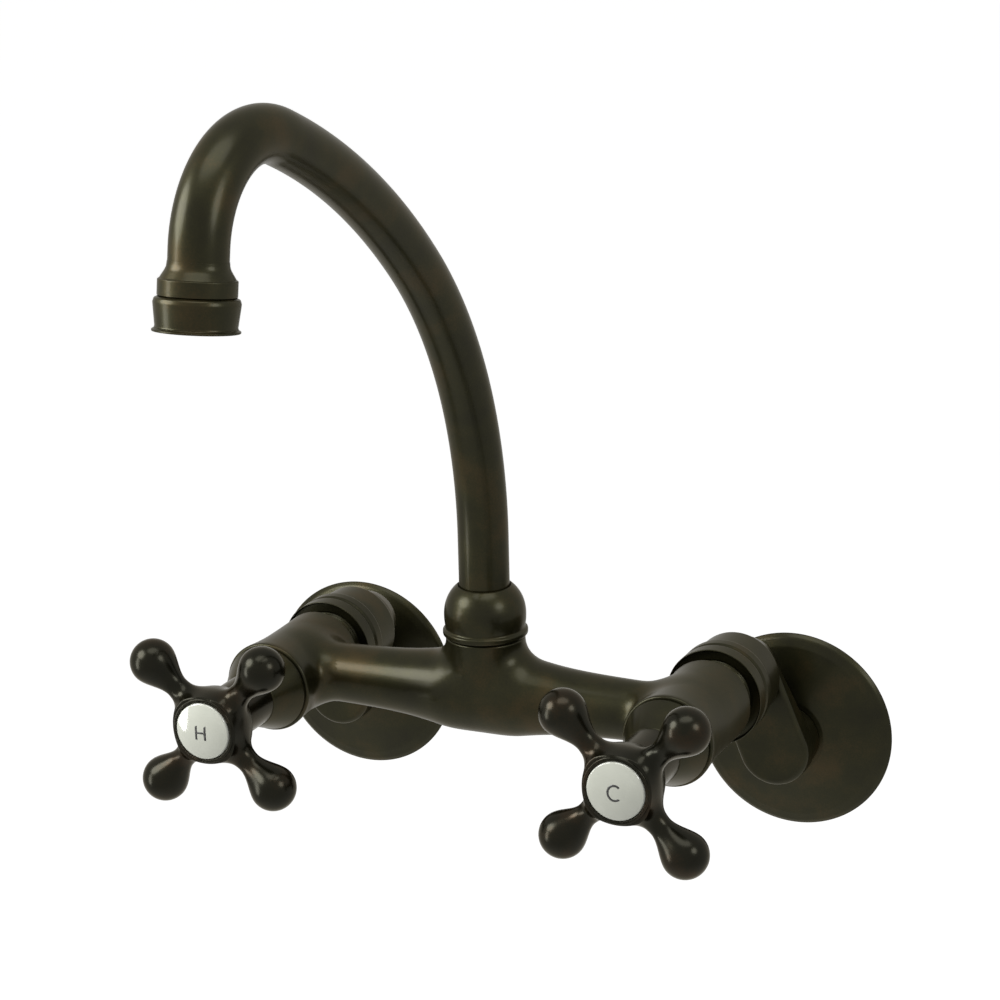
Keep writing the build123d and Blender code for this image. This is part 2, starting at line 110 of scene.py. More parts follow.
def valve_axis(sign):
    return np.array([sign * VALVE_X, 0, 0]), ACROSS, UP, OUT


def inlet_axis(sign):
    return np.array([sign * INLET_X, 0, -VALVE_Z]), ACROSS, UP, OUT


# shapes

def place(points):
    """Tap coordinates in millimetres to scene metres: y is minus the depth, z adds the valves' height."""
    out = np.array(points, float)
    out[..., 1] *= -1
    out[..., 2] += VALVE_Z
    return out * 0.001


def unit(vector):
    """Vectors divided by their own lengths."""
    vector = np.asarray(vector, float)
    return vector / np.linalg.norm(vector, axis=-1, keepdims=True)


def shell(grid, ring=False):
    """Closed surface over a grid of points whose columns close round. With ring, the last row joins the
    first. Without, the first and the last row are each one point. Faces are turned to point outwards by
    the sign of the enclosed volume."""
    grid = place(grid)
    rows, columns = grid.shape[:2]
    if ring:
        index = np.arange(rows * columns).reshape(rows, columns)
        near, far = index, np.roll(index, -1, 0)
        points = grid.reshape(-1, 3)
        caps = np.empty((0, 3), int)
    else:
        index = np.arange((rows - 2) * columns).reshape(rows - 2, columns)
        near, far = index[:-1], index[1:]
        points = np.concatenate([grid[1:-1].reshape(-1, 3), grid[:1, 0], grid[-1:, 0]])
        first, last, pole = index[0], index[-1], np.full(columns, len(points) - 2)
        caps = np.concatenate([np.stack([np.roll(first, -1), first, pole], -1),
                               np.stack([last, np.roll(last, -1), pole + 1], -1)])
    quads = np.stack([near, np.roll(near, -1, 1), np.roll(far, -1, 1), far], -1).reshape(-1, 4)
    thirds = np.concatenate([quads[:, :3], quads[:, [0, 2, 3]], caps])
    a, b, c = (points[thirds[:, k]] for k in range(3))
    if np.einsum("ij,ij->", a - points.mean(0), np.cross(b - points.mean(0), c - points.mean(0))) < 0:
        quads, caps = quads[:, ::-1], caps[:, ::-1]
    return points, quads, caps


def piece(name, shells, body, slot, nodes=(), finish=None):
    """One smooth mesh object from closed shells, on its body, in place of its CAD nodes. Its finish is its
    slot's own unless one is given."""
    points, faces, start = [], [], 0
    for corner_points, quads, caps in shells:
        points.append(corner_points)
        faces += (quads + start).tolist() + (caps + start).tolist()
        start += len(corner_points)
    mesh = bpy.data.meshes.new(name)
    mesh.from_pydata(np.concatenate(points), [], faces)
    mesh.polygons.foreach_set("use_smooth", np.ones(len(faces), bool))
    mesh.materials.append(finish or FINISHES[slot])
    made = bpy.data.objects.new(name, mesh)
    bpy.context.collection.objects.link(made)
    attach(made, body)
    if nodes:
        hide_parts(*nodes)


def rounded(corners):
    """Closed outline through corners given as (radius, height, fillet). Each corner becomes an arc tangent
    to both sides, which takes at most 0.48 of the shorter side, with a guard point beside it on each side so
    that flat sides stay flat when shaded. The arc's points are the two tangent points' blend by sines, more
    of them on a wide fillet. A corner that is almost straight keeps its one point."""
    spots = np.array([corner[:2] for corner in corners], float)
    outline = []
    for number, (_, _, fillet) in enumerate(corners):
        spot = spots[number]
        back, ahead = spots[number - 1] - spot, spots[(number + 1) % len(spots)] - spot
        side = min(np.hypot(*back), np.hypot(*ahead))
        back, ahead = unit(back), unit(ahead)
        half = 0.5 * np.arccos(np.clip(back @ ahead, -1, 1))
        if half > radians(88.8):
            outline.append(spot[None])
            continue
        reach = min(fillet / np.tan(half), 0.48 * side)
        middle = spot + unit(back + ahead) * reach / np.cos(half)
        first, last = spot + back * reach - middle, spot + ahead * reach - middle
        sweep = pi - 2 * half
        turn = np.linspace(0, 1, max(3, int(sweep * (6 + 2 * sqrt(fillet)) / 1.5)))[:, None]
        arc = middle + (np.sin((1 - turn) * sweep) * first + np.sin(turn * sweep) * last) / np.sin(sweep)
        guard = min(0.3, 0.3 * (side - reach))
        outline.append(np.concatenate([arc[:1] + back * guard, arc, arc[-1:] + ahead * guard]))
    return np.concatenate(outline)


def circle(columns, across, up):
    """Unit directions round an axis: cosine of the turn across, sine of the turn up."""
    turn = np.linspace(0, 2 * pi, columns, endpoint=False)[:, None]
    return np.cos(turn) * across + np.sin(turn) * up


def turned(outline, axis, columns):
    """Outline of (radius, height) turned about an axis: its radius round the axis, its height along it."""
    outline = np.asarray(outline, float)
    origin, across, up, along = axis
    radius, height = outline[:, 0, None, None], outline[:, 1, None, None]
    return origin + radius * circle(columns, across, up) + height * along


def turned_ring(outline, axis, columns):
    """One closed shell turned from a closed outline."""
    return [shell(turned(outline, axis, columns), ring=True)]


def blend(first, second, width):
    """Smaller of two distances, less a quarter of width times their squared closeness, which fills the
    corner between two forms with a cast fillet."""
    close = np.clip(1 - np.abs(first - second) / width, 0, 1)
    return np.minimum(first, second) - 0.25 * width * close ** 2


def sunk(past):
    """How far a surface dips under its neighbour past their seam: 0.003 of the distance squared plus 0.0006
    of its fourth power, so slowly at first and then faster."""
    past = np.clip(past, 0, None)
    return 0.003 * past ** 2 + 0.0006 * past ** 4


def struck(origin, ray, start, stop, form, dip):
    """Points where rays from inside a form leave it: stepped outwards 39 times until the form's distance
    turns positive, halved 16 times to the crossing, and no farther than stop. dip gives how far each point
    then sinks."""
    shares = np.linspace(0, 1, 40)
    steps = start[..., None] + (stop - start)[..., None] * shares
    inside = form(origin[..., None, :] + steps[..., None] * ray[..., None, :]) < 0
    inside[..., 0] = True
    last = np.where(inside.all(-1), len(shares) - 1, np.argmin(inside, -1) - 1)
    low = np.take_along_axis(steps, last[..., None], -1)[..., 0]
    high = np.take_along_axis(steps, np.minimum(last + 1, len(shares) - 1)[..., None], -1)[..., 0]
    for _ in range(16):
        middle = 0.5 * (low + high)
        within = form(origin + middle[..., None] * ray) < 0
        low, high = np.where(within, middle, low), np.where(within, high, middle)
    found = origin + low[..., None] * ray
    return found - dip(found)[..., None] * ray


def cast_rows(outline, axis, columns, form, wall, dip):
    """Rows of a moulded wall. Each outline entry (radius, height, source) sends rays from the axis at the
    source's height through that radius and height, out to the form's surface or to the wall that cuts off
    the neighbouring form, given as a distance along the ray. The search starts at 0.45 of the way to the
    outline and goes on to at least 0.8 of it."""
    outline = np.asarray(outline, float)
    origin, across, up, along = axis
    around = circle(columns, across, up)
    radius, height, source = (outline[:, k, None, None] for k in range(3))
    way = radius * around + (height - source) * along
    length = np.linalg.norm(way, axis=-1)
    ray = way / length[..., None]
    start = np.broadcast_to(origin + source * along, way.shape)
    stop = np.maximum(wall(start, ray), length * 0.8)
    return struck(start, ray, 0.45 * length, stop, form, dip)


# the forms of the cast body and of the handles

def barrel_wall(depth):
    """Barrel radius: the waist's, plus the square of the distance from the waist, which comes to 1 mm over
    18.2 mm towards the front and to 0.3 mm over 20 mm towards the back."""
    ahead = depth - WAIST_DEPTH
    return WAIST_RADIUS + np.where(ahead > 0, (ahead / 18.2) ** 2, 0.3 * (ahead / 20) ** 2)


def bridge(point):
    """Distance to the bridge: a round hub with a ball foot, two arms and two barrels, blended. An arm's
    radius swells towards the hub by a bell, one over one plus the distance across to the power 2.6, which
    is flattened near the middle, and its end inside the barrel is a ball."""
    across, depth, height = np.abs(point[..., 0]), point[..., 1] - HUB_DEPTH, point[..., 2]
    arm_radius = BRIDGE_RADIUS + BRIDGE_SWELL / (1 + (across / 22) ** 2.6)
    arm_radius = arm_radius - 0.03 * np.clip(16 - across, 0, None) ** 2
    past = np.clip(across - 72, 0, None)
    arm = np.sqrt(past ** 2 + depth ** 2 + (height - BRIDGE_HEIGHT) ** 2) - arm_radius
    hub = np.sqrt(across ** 2 + depth ** 2 + np.minimum(height, 0) ** 2) - HUB_RADIUS
    barrel = np.hypot(across - VALVE_X, height) - barrel_wall(point[..., 1])
    return blend(blend(hub, arm, 7), barrel, 6.5)


def club_radius(reach):
    """Handle arm radius: the waist's, plus a power of 1.6 towards the hub, which comes to 2.6 mm over 9.8 mm,
    and a smooth step outwards to the ball."""
    root = np.clip((CLUB_WAIST - reach) / 9.8, 0, 1.6)
    swell = np.clip((reach - CLUB_WAIST) / (CLUB_BALL - CLUB_WAIST), 0, 1)
    step = swell ** 2 * (3 - 2 * swell)
    return CLUB_WAIST_RADIUS + 2.6 * root ** 1.6 + (CLUB_BALL_RADIUS - CLUB_WAIST_RADIUS) * step


def club(reach, beside):
    """Distance to one handle arm: its turned wall, and the ball past the ball's centre."""
    ball = np.hypot(np.clip(reach - CLUB_BALL, 0, None), beside) - CLUB_BALL_RADIUS
    return np.where(reach > CLUB_BALL, ball, beside - club_radius(reach))


def cross_form(sign, turn):
    """Distance to a cross handle: the straight skirt blended into the four arms, cut off flat in front and
    behind as far as the skirt's seam."""
    def form(point):
        x, z = point[..., 0] - sign * VALVE_X, point[..., 2]
        first = np.abs(x * cos(turn + pi / 4) + z * sin(turn + pi / 4))
        second = np.abs(z * cos(turn + pi / 4) - x * sin(turn + pi / 4))
        reach, aside = np.maximum(first, second), np.minimum(first, second)
        lift = point[..., 1] - HANDLE_DEPTH
        arms = blend(club(reach, np.hypot(aside, lift)), club(aside, np.hypot(reach, lift)), 7)
        faces = np.maximum(point[..., 1] - HANDLE_FRONT + 0.5, HANDLE_BACK + 0.1 - point[..., 1])
        skirt = np.hypot(x, z) - HANDLE_RADIUS
        return np.maximum(blend(skirt, arms, 5), np.where(reach < SKIRT_SEAM, faces, -1))
    return form


def hub_shell():
    """Spout hub: a half ball under a straight wall, cast into the arms and sunk under them past their seam,
    with its stepped spigot and bore on top."""
    foot = np.linspace(-pi / 2, 0, 48)[1:]
    lower = np.stack([HUB_RADIUS * np.cos(foot), HUB_RADIUS * np.sin(foot), 0 * foot], 1)
    height = np.linspace(0.4, HUB_TOP - 0.8, 54)
    upper = np.stack([np.full_like(height, HUB_RADIUS), height, 0.3 * height], 1)

    def wall(start, ray):
        return np.minimum(HUB_STOP / np.maximum(np.abs(ray[..., 0]), 0.1), 30)

    outside = cast_rows(np.concatenate([lower, upper]), HUB_AXIS, CAST_COLUMNS, bridge, wall,
                        lambda point: sunk(np.abs(point[..., 0]) - HUB_SEAM))
    bore, floor = 9.55, 8
    spigot = rounded([(0.01, 26, 0), (HUB_RADIUS, HUB_TOP - 4, 0), (HUB_RADIUS, HUB_TOP, 0.7),
                      (SPIGOT_RADIUS, HUB_TOP, 0.3), (SPIGOT_RADIUS, SPIGOT_TOP, 0.5),
                      (bore, SPIGOT_TOP, 0.3), (bore, floor, 0.3), (0.01, floor, 0)])
    first = np.argmax((spigot[:, 0] > HUB_RADIUS - 0.1) & (spigot[:, 1] > HUB_TOP - 0.75))
    inside = turned(np.concatenate([spigot[first:-1], [[0, floor]]]), HUB_AXIS, CAST_COLUMNS)
    bottom = outside[:1] * 0 + np.array([0, HUB_DEPTH, -HUB_RADIUS - 0.02])
    return shell(np.concatenate([bottom, outside, inside]))


def bridge_arm_shell(sign):
    """One arm of the bridge: rays square to its axis, out to the casting's surface, sunk under the hub and
    under the barrel at its two ends."""
    reach = sign * np.linspace(*BRIDGE_ARM_ENDS, 62)
    start = np.stack([reach, np.full_like(reach, HUB_DEPTH), np.full_like(reach, BRIDGE_HEIGHT)], 1)
    ray = circle(112, OUT, UP)
    start, ray = start[:, None] + 0 * ray, ray + 0 * start[:, None]

    def dip(point):
        across = np.abs(point[..., 0])
        return sunk(BRIDGE_ARM_SEAMS[0] - across) + sunk(across - BRIDGE_ARM_SEAMS[1])

    full = np.ones(ray.shape[:2])
    wall = struck(start, ray, 4 * full, 21 * full, bridge, dip)
    return shell(np.concatenate([start[:1], wall, start[-1:]]))


def neck_thread(grid, outline, axis):
    """Cuts the thread of the inlet neck into the turned rows that lie on it: each point goes straight
    inwards by the groove's depth times a rounded saw of height over pitch minus the turn, which fades in
    over the last millimetre at both ends."""
    radius, height = outline[:, :1], outline[:, 1:]
    lead = np.linspace(0, 1, grid.shape[1], endpoint=False)
    saw = 0.5 - 0.5 * np.cos(2 * pi * (height / NECK_PITCH - lead))
    fade = np.clip(np.minimum(height - NECK_BACK + 0.3, NECK_FRONT - height), 0, 1)
    on_neck = ((np.abs(radius - NECK_RADIUS) < 0.01) & (height > NECK_BACK - 0.5)
               & (height < NECK_FRONT + 0.1))
    origin, across, up, _ = axis
    outwards = unit((grid - origin) * (across + up))
    return grid - outwards * (NECK_GROOVE * saw * fade * on_neck)[..., None]


def barrel_shell(sign):
    """Valve barrel: its moulded wall, sunk under the arm past their seam, then round its front rim, down the
    stepped bore for the valve, and out over the threaded neck to its back."""
    valve = valve_axis(sign)
    depth = np.linspace(BARREL_BACK + 1.3, BARREL_FRONT - 2.1, 62)
    outer = np.stack([barrel_wall(depth), depth, HUB_DEPTH + 0.3 * (depth - HUB_DEPTH)], 1)

    def wall(start, ray):
        inward = -sign * ray[..., 0]
        return np.where(inward > 0.05, (VALVE_X - BARREL_STOP) / np.maximum(inward, 0.05), 40.0)

    moulded = cast_rows(outer, valve, CAST_COLUMNS, bridge, wall,
                        lambda point: sunk(BARREL_SEAM - np.abs(point[..., 0])))
    mouth, chamber, passage, inlet_bore, back_radius = 13.4, 12, 6, 8.5, 15.6
    shelf, seat, web, end = 99.5, 70, 66, NECK_BACK - 1
    inside = rounded([(BARREL_FRONT_RADIUS, 97, 0), (BARREL_FRONT_RADIUS, BARREL_FRONT, 0.9),
                      (mouth, BARREL_FRONT, 0.35), (mouth, shelf, 0.1), (chamber, shelf, 0.1),
                      (chamber, seat, 0.1), (passage, seat, 0.1), (passage, web, 0.1), (inlet_bore, web, 0.2),
                      (inlet_bore, end, 0.3), (NECK_RADIUS, end, 0.4), (NECK_RADIUS, BARREL_BACK, 0.2),
                      (back_radius, BARREL_BACK, 0.8), (back_radius, BARREL_BACK + 3, 0)])
    radius, height = inside.T
    front = np.argmax((radius > BARREL_FRONT_RADIUS - 0.1) & (height > BARREL_FRONT - 2.05))
    neck = np.argmax((np.abs(radius - NECK_RADIUS) < 0.1) & (height > end + 0.2) & (height < NECK_BACK + 0.5))
    back = inside[neck + 1:]
    back = back[(back[:, 1] > NECK_FRONT + 0.2) & (back[:, 1] < BARREL_BACK + 1.25)]
    screw = np.linspace((NECK_RADIUS, NECK_BACK), (NECK_RADIUS, NECK_FRONT), 42)
    inside = np.concatenate([inside[front:neck + 1], screw, back])
    cut = neck_thread(turned(inside, valve, CAST_COLUMNS), inside, valve)
    return shell(np.concatenate([moulded, cut]), ring=True)


def bridge_shells():
    """The casting: hub, two arms and two barrels, as closed shells that meet on its common surface."""
    return [hub_shell()] + [make(sign) for _, sign in SIDES for make in (bridge_arm_shell, barrel_shell)]


def handle_shells(sign, turn):
    """Cross handle: its skirt, from the common surface in front and behind into the stepped bore, and four
    arms, whose rays go square to the arm up to the ball's centre and then fan out over the ball. Each shell
    sinks under the other past its seam."""
    form = cross_form(sign, turn)
    valve = valve_axis(sign)
    angles = turn + pi / 4 + np.arange(4) * pi / 2
    heads = np.cos(angles)[:, None] * ACROSS + np.sin(angles)[:, None] * UP

    def reach_of(point):
        return ((point - valve[0]) @ heads.T).max(-1)

    def wall(start, ray):
        return SKIRT_STOP / np.maximum((ray @ heads.T).max(-1), 0.3)

    depth = np.linspace(HANDLE_BACK + 0.9, HANDLE_FRONT - 1.0, 44)
    source = HANDLE_DEPTH + 0.35 * (depth - HANDLE_DEPTH)
    outer = np.stack([np.full_like(depth, HANDLE_RADIUS), depth, source], 1)
    skirt = cast_rows(outer, valve, 320, form, wall, lambda point: sunk(reach_of(point) - SKIRT_SEAM))
    rim, mouth, mouth_floor = HANDLE_FRONT - 0.15, BUTTON_RADIUS + 0.15, BUTTON_BACK - 0.15
    screw_head, screw_seat, screw_hole = 4.2, 143.3, 2.1
    spline, spline_front, spline_back, hollow = 4.05, 141.4, 137.2, 10.15
    bore = rounded([(HANDLE_RADIUS, HANDLE_FRONT - 4, 0), (HANDLE_RADIUS, rim, 0.55), (mouth, rim, 0.3),
                    (mouth, mouth_floor, 0.1), (screw_head, mouth_floor, 0.1), (screw_head, screw_seat, 0.1),
                    (screw_hole, screw_seat, 0.1), (screw_hole, spline_front, 0.1),
                    (spline, spline_front, 0.1), (spline, spline_back, 0.1), (hollow, spline_back, 0.1),
                    (hollow, HANDLE_BACK, 0.3), (HANDLE_RADIUS, HANDLE_BACK, 0.7),
                    (HANDLE_RADIUS, HANDLE_BACK + 4, 0)])
    radius, height = bore.T
    bore = bore[(radius < HANDLE_RADIUS - 0.01) | (height > rim - 0.8) | (height < HANDLE_BACK + 0.85)]
    shells = [shell(np.concatenate([skirt, turned(bore, valve, 320)]), ring=True)]

    tilt = np.concatenate([np.zeros(40), np.linspace(0, pi / 2, 22)[1:-1]])[:, None, None]
    reach = np.concatenate([np.linspace(CLUB_START, CLUB_BALL, 40), np.full(20, CLUB_BALL)])[:, None, None]
    middle = valve[0] + HANDLE_DEPTH * OUT
    for head in heads:
        aside = np.cross(head, OUT)
        ray = np.cos(tilt) * circle(96, aside, OUT) + np.sin(tilt) * head
        start = middle + reach * head + 0 * ray
        full = np.ones(ray.shape[:2])
        wall_rows = struck(start, ray, 1.5 * full, 12 * full, form,
                           lambda point: sunk(CLUB_SEAM - reach_of(point)))
        tip = middle + (CLUB_BALL + CLUB_BALL_RADIUS) * head + 0 * start[:1]
        shells.append(shell(np.concatenate([start[:1], wall_rows, tip])))
    return shells


# the swing arm

def link_shell(sign):
    """Tapered link. Its edges are rounded on a square section, of which the distance from the side is taken
    off the radii of both ends, and the radii change with depth by 3.2 and by -0.3 mm. The outline then goes
    round two circles, whose common tangents touch them where the normal leans from the link's line by the
    arc cosine of the radii's difference over the offset."""
    upper, lower = valve_axis(sign)[0], inlet_axis(sign)[0]
    along = unit(lower - upper)
    aside = np.cross(along, OUT)
    side = 15
    edge = rounded([(0, LINK_BACK, 0), (side, LINK_BACK, 2.2), (side, LINK_FRONT, 2.1), (0, LINK_FRONT, 0)])
    edge = edge[edge[:, 0] > side - 5]
    inset, depth = side - edge[:, :1], edge[:, 1:]
    share = (depth - LINK_BACK) / (LINK_FRONT - LINK_BACK)
    upper_radius, lower_radius = 10.2 + 3.2 * share - inset, 13.3 - 0.3 * share - inset
    lean = np.arccos((upper_radius - lower_radius) / ARM_OFFSET)
    points = 120
    half = np.linspace(0, 1, points)
    turn = np.concatenate([lean + half * (2 * pi - 2 * lean), (2 * half - 1) * lean], 1)[..., None]
    first = (np.arange(2 * points) < points)[:, None]
    radius = np.where(first, upper_radius[..., None], lower_radius[..., None])
    outline = (np.where(first, upper, lower) + radius * (np.cos(turn) * along + np.sin(turn) * aside)
               + depth[..., None] * OUT)
    ends = [(upper + lower) / 2 + height * OUT + 0 * outline[:1] for height in (LINK_BACK, LINK_FRONT)]
    return shell(np.concatenate([ends[0], outline, ends[1]]))


def boss_shell(sign):
    """Boss in front of the link, with the collar that the union nut pulls on, and its water way."""
    root, floor = LINK_FRONT - 2, 36
    boss = rounded([(0, root, 0), (12.9, root, 0.1), (13.35, LINK_FRONT, 1), (13.6, 28.8, 0.6),
                    (16, 29.4, 1.4), (BOSS_RADIUS, BOSS_FRONT, 0.6), (ARM_NECK_RADIUS, BOSS_FRONT, 0.3),
                    (ARM_NECK_RADIUS, ARM_COLLAR_BACK, 0.3), (ARM_COLLAR_RADIUS, ARM_COLLAR_BACK, 0.3),
                    (ARM_COLLAR_RADIUS, ARM_COLLAR_FRONT, 0.3), (WATERWAY_RADIUS, ARM_COLLAR_FRONT, 0.3),
                    (WATERWAY_RADIUS, floor, 0.3), (0, floor, 0)])
    boss = np.concatenate([[[0, root]], boss[boss[:, 0] > 0.3], [[0, floor]]])
    return shell(turned(boss, valve_axis(sign), 160))


def shank_shell(sign):
    """Neck behind the link and the shank in the wall, drilled through. The shank's own 1/2 in thread, which
    the wall hides, is left plain."""
    back = rounded([(WATERWAY_RADIUS, SHANK_BACK, 0.4), (SHANK_RADIUS, SHANK_BACK, 0.8),
                    (SHANK_RADIUS, 0, 0)])
    side = np.linspace((SHANK_RADIUS, SHANK_BACK + 1), (SHANK_RADIUS, -1.2), 80)
    neck_radius, shoulder, shoulder_radius, front = 10.0, FLANGE_HEIGHT + 0.3, 12.4, LINK_BACK + 2.5
    neck = rounded([(SHANK_RADIUS, -1, 0), (SHANK_RADIUS, -0.5, 0.15), (neck_radius, -0.5, 0.1),
                    (neck_radius, shoulder, 0.1), (shoulder_radius, shoulder, 0.8),
                    (shoulder_radius, front, 0.2), (WATERWAY_RADIUS, front, 0.2)])
    return shell(turned(np.concatenate([back[:-2], side, neck[1:]]), inlet_axis(sign), 144), ring=True)


def offset_arm_shells(sign):
    """The swing arm, as three closed shells."""
    return [link_shell(sign), boss_shell(sign), shank_shell(sign)]


# the spout

def spout_ahead():
    """Level direction in which the spout points."""
    return np.array([-sin(SPOUT_TURN), cos(SPOUT_TURN), 0])


def spout_line():
    """Centre line of the spout from its socket: a straight riser, three arcs and a short straight end, as
    points and directions at equal steps of length. Each arc turns its direction by length over radius, and
    moves by the difference of the directions' sines and cosines times radius."""
    parts = [(SPOUT_RISER, 0.0)]
    parts += [(radius * radians(sweep), 1 / radius) for radius, sweep in SPOUT_ARCS]
    parts += [(SPOUT_END, 0.0)]
    ends = np.cumsum([0] + [length for length, _ in parts])
    travel = np.linspace(0, ends[-1], 320)
    point, heading, points, headings = np.array([0.0, SPOUT_SOCKET]), pi / 2, [], []
    for (length, curve), low, high in zip(parts, ends[:-1], ends[1:]):
        gone = travel[(travel >= low) & ((travel < high) | (high == ends[-1]))] - low
        gone = np.append(gone, length)
        leaning = heading - curve * gone
        if curve:
            moved = np.stack([sin(heading) - np.sin(leaning), np.cos(leaning) - cos(heading)], 1) / curve
        else:
            moved = gone[:, None] * [cos(heading), sin(heading)]
        points.append((point + moved)[:-1])
        headings.append(leaning[:-1])
        point, heading = point + moved[-1], leaning[-1]
    points, headings = np.concatenate(points), np.concatenate(headings)[:, None]
    line = HUB_DEPTH * OUT + points[:, :1] * spout_ahead() + points[:, 1:] * UP
    way = np.cos(headings) * spout_ahead() + np.sin(headings) * UP
    return line, way


def tube_shell():
    """Spout tube: a circle carried along the centre line, square to it, outside and back inside the wall."""
    line, way = spout_line()
    sideways = np.cross(spout_ahead(), UP)
    around = circle(112, sideways, np.cross(way, sideways)[:, None])
    outer = line[:, None] + TUBE_RADIUS * around
    inner = line[:, None] + (TUBE_RADIUS - TUBE_WALL) * around
    return shell(np.concatenate([outer, inner[::-4]]), ring=True)


def outlet_axis():
    """Axis of the spout's end, in the direction in which the water leaves."""
    line, way = spout_line()
    sideways = np.cross(spout_ahead(), UP)
    return line[-1], sideways, np.cross(way[-1], sideways), way[-1]


# turned pieces, as outlines of (radius, height, fillet), and the letters

def collar_outline():
    """Collar nut: its bore and bead, then a dome whose radius is read between a few heights and smoothed
    with a raised cosine."""
    bore, ceiling, foot = SPIGOT_RADIUS + 0.05, 36, HUB_TOP + 0.3
    nut = rounded([(9.2, ceiling, 0.1), (bore, ceiling, 0.1), (bore, foot, 0.3), (HUB_RADIUS, foot, 0.5),
                   (BEAD_RADIUS, foot + 0.6, 0.7), (BEAD_RADIUS, foot + 2.2, 0.7),
                   (14.2, DOME_FOOT - 0.1, 0.2)])
    height = DOME_FOOT + DOME_HEIGHT * np.linspace(0, 1, 40)
    radius = np.interp(height, [25.1, 26.5, 28.5, 31, 33.5, 36, 38, 39.5, 40.6],
                       [13.9, 14.25, 14.45, 14.45, 14.1, 13.25, 12.1, 10.9, 9.6])
    kernel = np.hanning(9) / np.hanning(9).sum()
    radius = np.convolve(np.pad(radius, 4, mode="reflect", reflect_type="odd"), kernel, "valid")
    inner_edge = [9.25, DOME_FOOT + DOME_HEIGHT - 0.1]
    return np.concatenate([nut[:-2], np.stack([radius, height], 1)[1:], [inner_edge]])


def union_nut_outline():
    """Round nut with a shallow groove, open in front and with a lip behind the arm's collar."""
    lip_bore, lip_front = ARM_NECK_RADIUS + 0.3, ARM_COLLAR_BACK - 0.3
    bore, recess, shallow, groove = NECK_RADIUS + 0.1, NUT_FRONT - 1.6, NUT_RADIUS - 0.6, NUT_BACK + 6
    return rounded([(lip_bore, NUT_BACK, 0.4), (NUT_RADIUS, NUT_BACK, 1.4), (NUT_RADIUS, groove - 1.2, 0.9),
                    (shallow, groove, 0.5), (NUT_RADIUS, groove + 1.2, 0.9), (NUT_RADIUS, NUT_FRONT, 0.35),
                    (shallow, NUT_FRONT, 0.25), (shallow, recess, 0.2), (bore, recess, 0.3),
                    (bore, lip_front, 0.2), (lip_bore, lip_front, 0.2)])


def shroud_outline():
    """Cone that narrows from the barrel's front to the sleeve, hollow round the valve."""
    back, shoulder, bore, hollow, hole = BARREL_FRONT + 0.12, 15.25, 13.5, 10.4, 8.3
    return rounded([(bore, back, 0.1), (shoulder, back, 0.25), (shoulder, BARREL_FRONT + 1.2, 0.6),
                    (SLEEVE_RADIUS + 0.25, SHROUD_FRONT - 0.3, 0.5),
                    (SLEEVE_RADIUS + 0.05, SHROUD_FRONT, 0.1), (hole, SHROUD_FRONT, 0.1), (hole, 107.6, 0.1),
                    (hollow, 107.6, 0.1), (hollow, 103.3, 0.1), (bore, 103.3, 0.1)])


def sleeve_outline():
    """Sleeve between the cone and the handle. The sleeve is a real part; its dark finish is painted shade,
    standing in for the shadow the handle casts on it.
    """
    back, step, bore, hole = SHROUD_FRONT - 0.5, SHROUD_FRONT + 0.1, SLEEVE_RADIUS - 0.85, 8.4
    return rounded([(SLEEVE_RADIUS, back, 0.1), (SLEEVE_RADIUS, SLEEVE_FRONT, 0.3), (bore, SLEEVE_FRONT, 0.2),
                    (bore, step, 0.1), (hole, step, 0.1), (hole, back, 0.1)])


def flange_outline():
    """Dished flange: a thin cone from the neck to a rolled-off rim on the wall."""
    bore, inside = 10.3, FLANGE_RADIUS - 0.8
    return rounded([(bore, FLANGE_HEIGHT, 0.2), (13.8, 8.8, 1.0), (32.5, 3.2, 4.0), (35.6, 1.95, 2.4),
                    (FLANGE_RADIUS, 0.7, 0.5), (FLANGE_RADIUS, 0, 0.3), (inside, 0, 0.2), (inside, 0.6, 0.3),
                    (32.2, 1.6, 2.0), (13.5, 7.6, 1.0), (bore, FLANGE_HEIGHT - 1.2, 0.2)])


def crown(beside):
    """Height of the button's domed face: the rim's, plus the crown times one less the share of the radius
    squared."""
    return HANDLE_FRONT + BUTTON_CROWN * (1 - (beside / BUTTON_RADIUS) ** 2)


def button_outline():
    """Button from the middle of its back round its edge to the middle of its domed face."""
    edge = rounded([(9.6, BUTTON_BACK, 0.2), (BUTTON_RADIUS, BUTTON_BACK, 0.3),
                    (BUTTON_RADIUS, HANDLE_FRONT + 0.05, 0.3)])
    beside = (BUTTON_RADIUS - 0.15) * (1 - np.linspace(0, 1, 30))
    return np.concatenate([[[0, BUTTON_BACK]], edge[:-2], np.stack([beside, crown(beside)], 1)])


def ferrule_outline():
    """Brazed end of the spout: a flare from the tube to a band, and the smaller end on which the aerator's
    shell screws."""
    plug, skirt, band_end, end = TUBE_RADIUS - TUBE_WALL - 0.05, TUBE_RADIUS + 0.03, 7.62, 13
    return rounded([(OUTLET_BORE, -4, 0.2), (plug, -4, 0.2), (plug, 0.05, 0.03), (skirt, 0.05, 0.03),
                    (skirt, -2.3, 0.02), (TUBE_RADIUS + 0.1, -2.3, 0.02), (9.15, -0.5, 4.4),
                    (11.05, 2.6, 0.4), (BAND_RADIUS, 2.95, 0.3), (BAND_RADIUS, band_end, 0.3),
                    (OUTLET_THREAD_RADIUS, band_end + 0.08, 0.1), (OUTLET_THREAD_RADIUS, end, 0.2),
                    (OUTLET_BORE, end, 0.2)])


